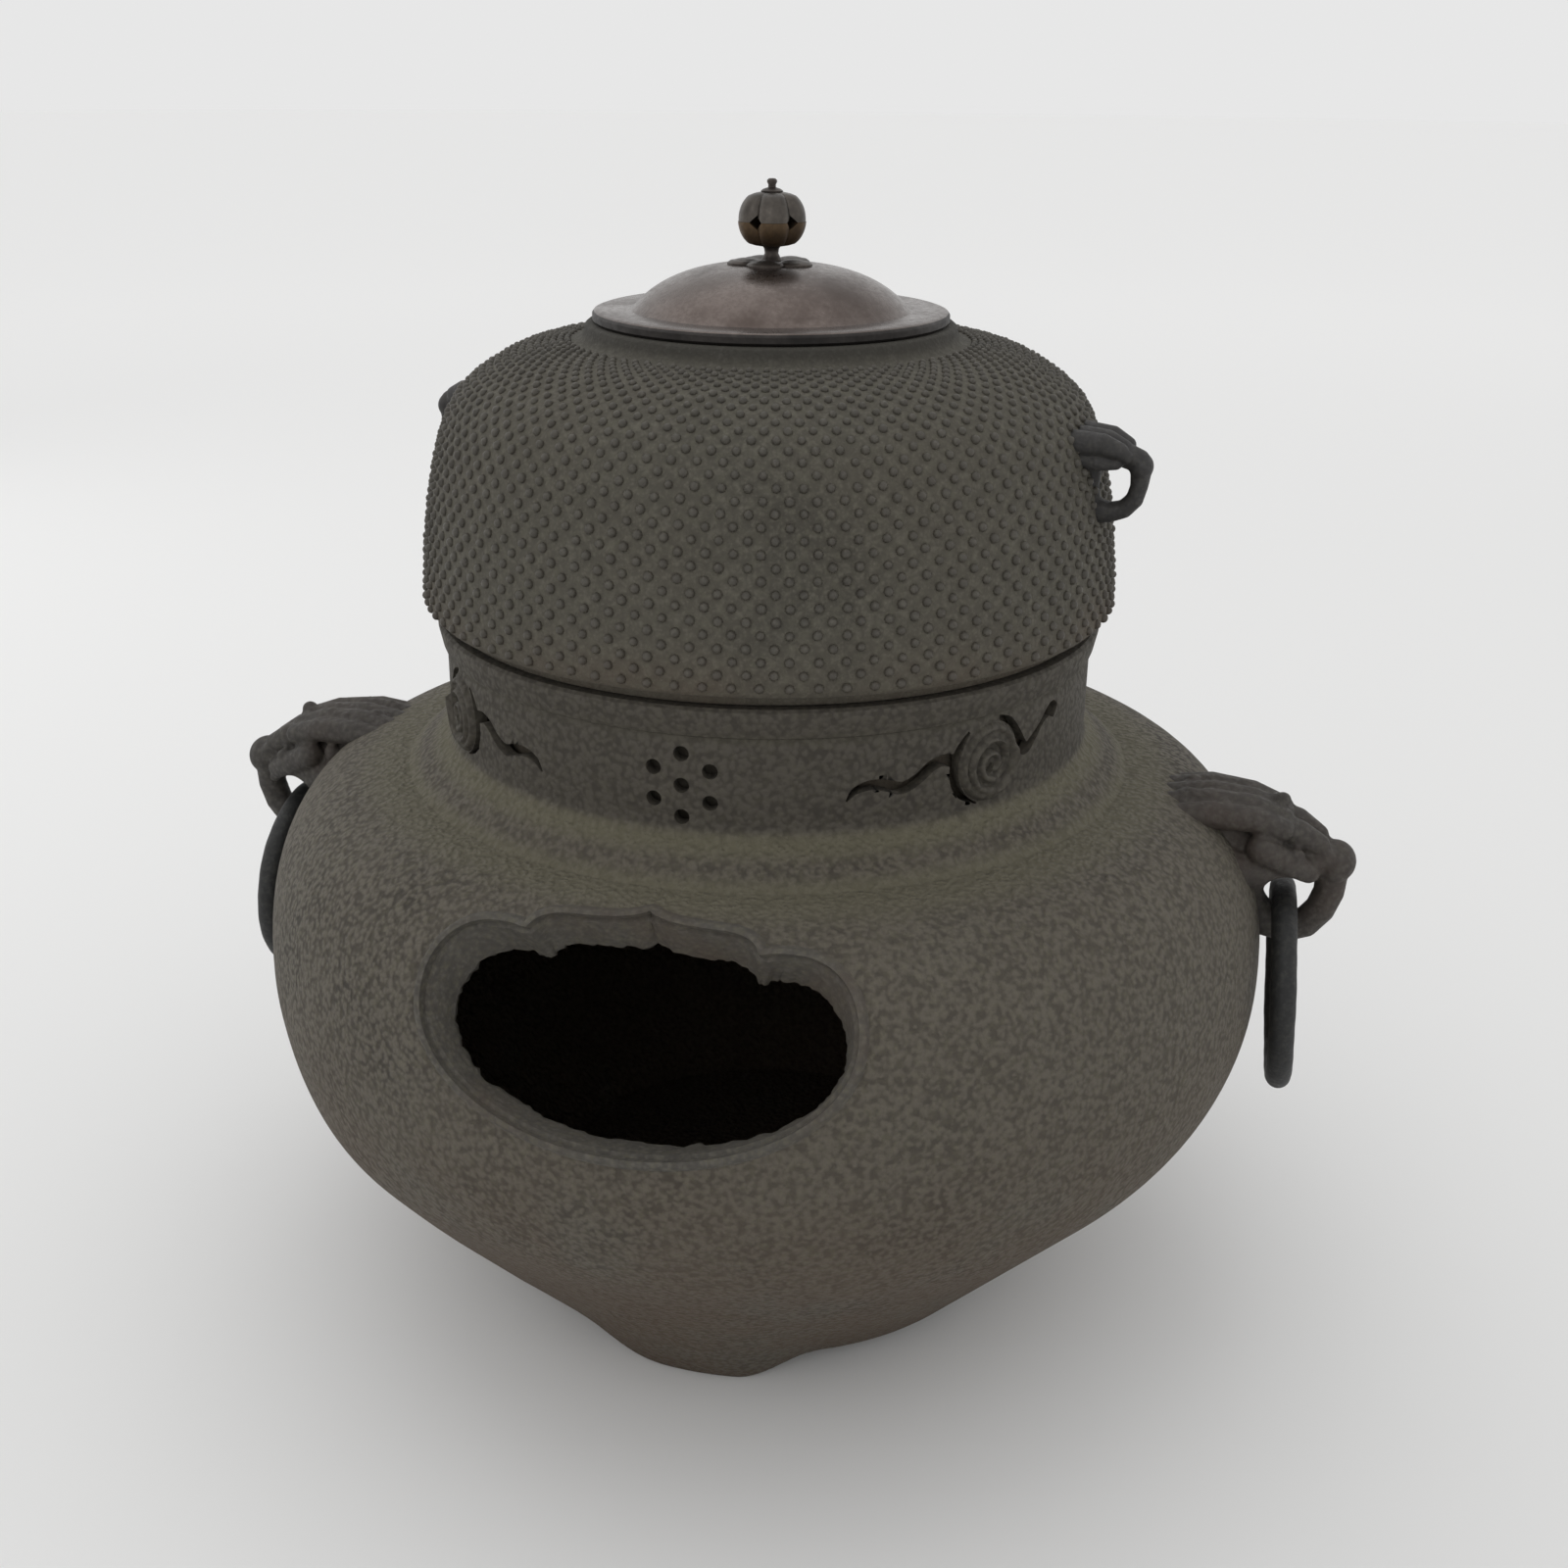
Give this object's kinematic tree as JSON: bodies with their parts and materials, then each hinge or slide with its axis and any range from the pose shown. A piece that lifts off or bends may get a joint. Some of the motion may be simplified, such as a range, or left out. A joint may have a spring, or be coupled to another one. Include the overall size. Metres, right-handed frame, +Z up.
{
  "type": "charcoal brazier with kettle",
  "caption": "Round cast-iron charcoal brazier with a lobed fire mouth, openwork neck and ring lugs, holding a hobnailed kettle with a lift-off knobbed lid.",
  "frame": {"origin": "on the floor under the middle of the round bowl", "axes": "+Z up, the fire mouth faces -Y, the two carrying rings hang on the X axis"},
  "size_m": [0.423, 0.3648, 0.4056],
  "materials": {
    "brazier_iron": "pebbled dry cast iron",
    "lug_iron": "smooth rubbed cast iron",
    "ring_iron": "smooth dark iron",
    "kettle_iron": "hobnailed dry cast iron",
    "kettle_lug_iron": "dark rubbed iron",
    "lid_bronze": "brown patinated bronze",
    "petal_bronze": "dark patinated bronze",
    "golden_bronze": "worn golden bronze",
    "dark_bronze": "dark rubbed bronze"
  },
  "bodies": {
    "brazier": {"brazier_body": "brazier_iron", "foot_front": "brazier_iron", "foot_rear_left": "brazier_iron", "foot_rear_right": "brazier_iron", "mask_lug_left": "lug_iron", "mask_lug_right": "lug_iron"},
    "ring_left": {"carrying_ring_left": "ring_iron"},
    "ring_right": {"carrying_ring_right": "ring_iron"},
    "kettle": {"kettle_body": "kettle_iron", "kettle_lug_left": "kettle_lug_iron", "kettle_lug_right": "kettle_lug_iron"},
    "lid": {"lid_plate": "lid_bronze", "lid_locating_ring": "lid_bronze", "knob_petal_seat": "petal_bronze", "knob_stem": "petal_bronze", "knob_lower_cup": "golden_bronze", "knob_upper_bud": "dark_bronze", "knob_cap": "petal_bronze", "knob_rivet": "petal_bronze", "lid_washer": "lid_bronze"}
  },
  "joints": [
    {"name": "ring_right_swing", "type": "hinge", "parent": "brazier", "child": "ring_right", "pos_m": [0.1885, 0, 0.16825], "axis": [0, -1, 0], "range_deg": [-8, 212]},
    {"name": "ring_left_swing", "type": "hinge", "parent": "brazier", "child": "ring_left", "pos_m": [-0.1885, 0, 0.16825], "axis": [0, 1, 0], "range_deg": [-8, 212]},
    {"name": "kettle_lift", "type": "slide", "parent": "brazier", "child": "kettle", "axis": [0, 0, 1], "range_m": [0, 0.12]},
    {"name": "lid_lift", "type": "slide", "parent": "kettle", "child": "lid", "axis": [0, 0, 1], "range_m": [0, 0.06]}
  ]
}
